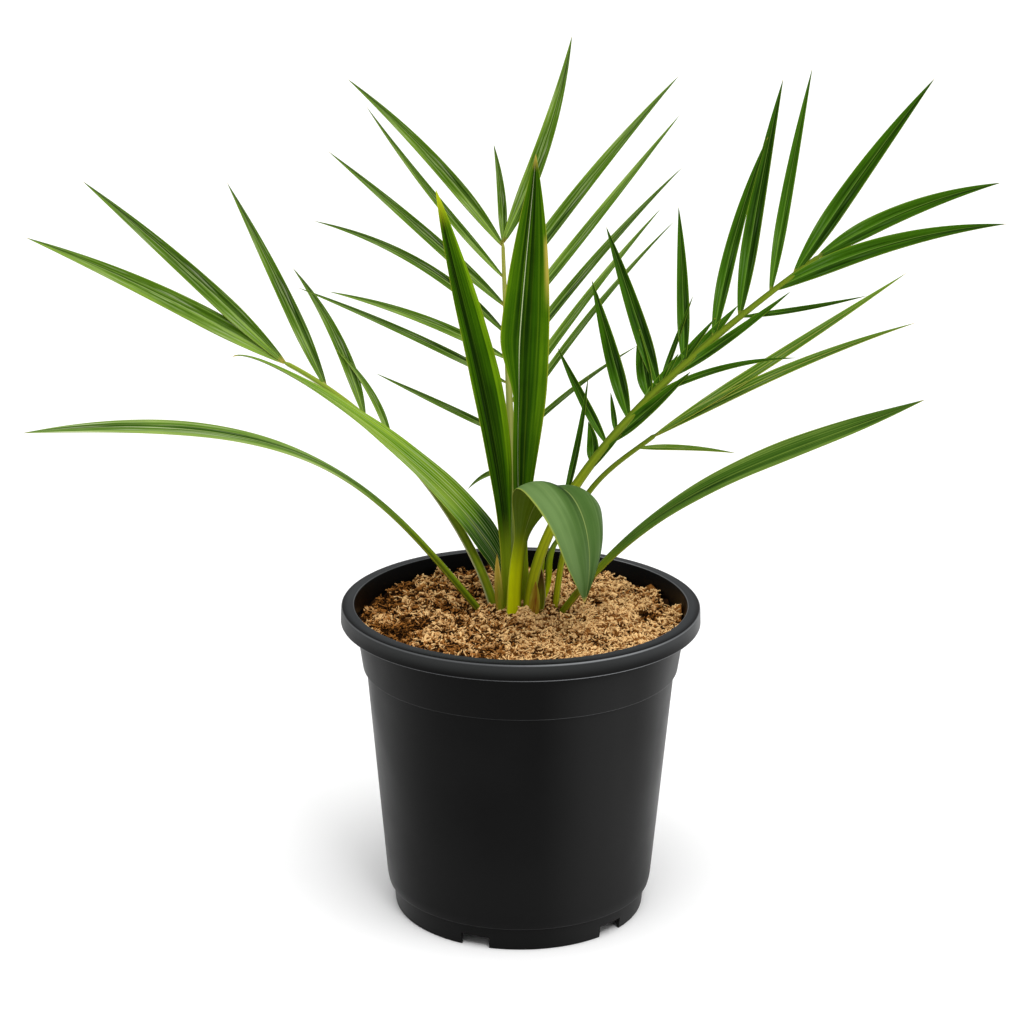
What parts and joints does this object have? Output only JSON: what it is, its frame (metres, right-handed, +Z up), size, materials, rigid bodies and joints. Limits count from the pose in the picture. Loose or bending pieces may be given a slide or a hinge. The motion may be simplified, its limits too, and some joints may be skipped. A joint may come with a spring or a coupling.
{
  "type": "potted canary island date palm",
  "caption": "Young feather palm with arching strap leaves and feather-shaped fronds, growing in bark mix in a round tapered nursery pot with a rolled rim and a notched foot.",
  "frame": {"origin": "centre of the pot's flat underside, on the surface it stands on", "axes": "+Z up, +X to the right seen from the front, +Y away from the front"},
  "size_m": [0.6912, 0.3374, 0.6037],
  "materials": {
    "pot": "matte",
    "bark_mix": "matte",
    "leaf": "satin",
    "young_leaf": "satin",
    "bract": "matte"
  },
  "bodies": {
    "root": {"pot": "pot", "soil": "bark_mix", "left_narrow_strap": "leaf", "left_broad_strap": "leaf", "right_strap": "leaf", "upright_strap": "leaf", "folded_leaf": "leaf", "arched_leaf": "young_leaf", "young_shoot": "young_leaf", "rear_shoot": "young_leaf", "papery_bract": "bract", "left_frond": "leaf", "back_frond": "leaf", "right_frond": "leaf", "right_rear_frond": "leaf"}
  },
  "joints": []
}
